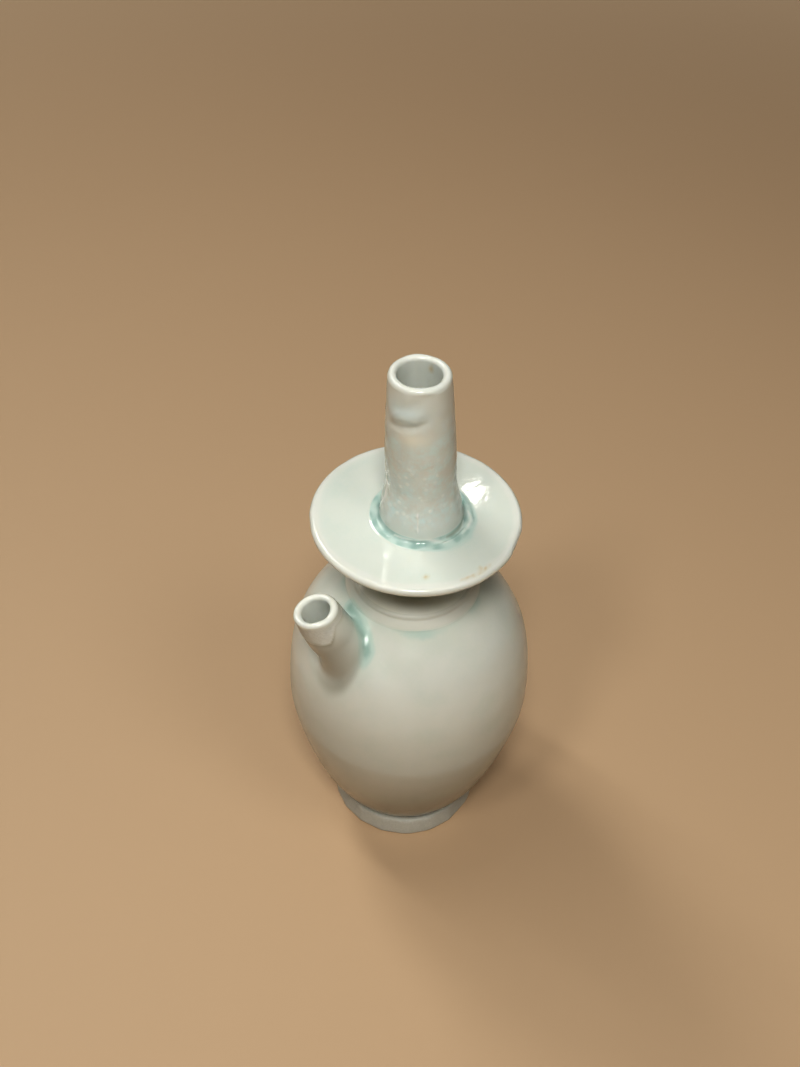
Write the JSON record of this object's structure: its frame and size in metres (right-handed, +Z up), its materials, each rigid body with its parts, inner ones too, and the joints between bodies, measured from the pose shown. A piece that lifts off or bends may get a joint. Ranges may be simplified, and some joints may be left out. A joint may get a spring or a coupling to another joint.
{
  "type": "water dropper",
  "caption": "Small glazed porcelain bottle for dripping water: egg body, side spout, wide disc on the neck and a fine upright tube.",
  "frame": {"origin": "centre of the foot's underside, on the body's axis", "axes": "+Z up the body's axis towards the tube's mouth, -X towards the side spout"},
  "size_m": [0.0487, 0.0472, 0.1113],
  "materials": {
    "glazed_porcelain": "glossy pale blue-green glaze, bare pinkish-grey clay on the foot"
  },
  "bodies": {
    "root": {"water_dropper": "glazed_porcelain"}
  },
  "joints": []
}
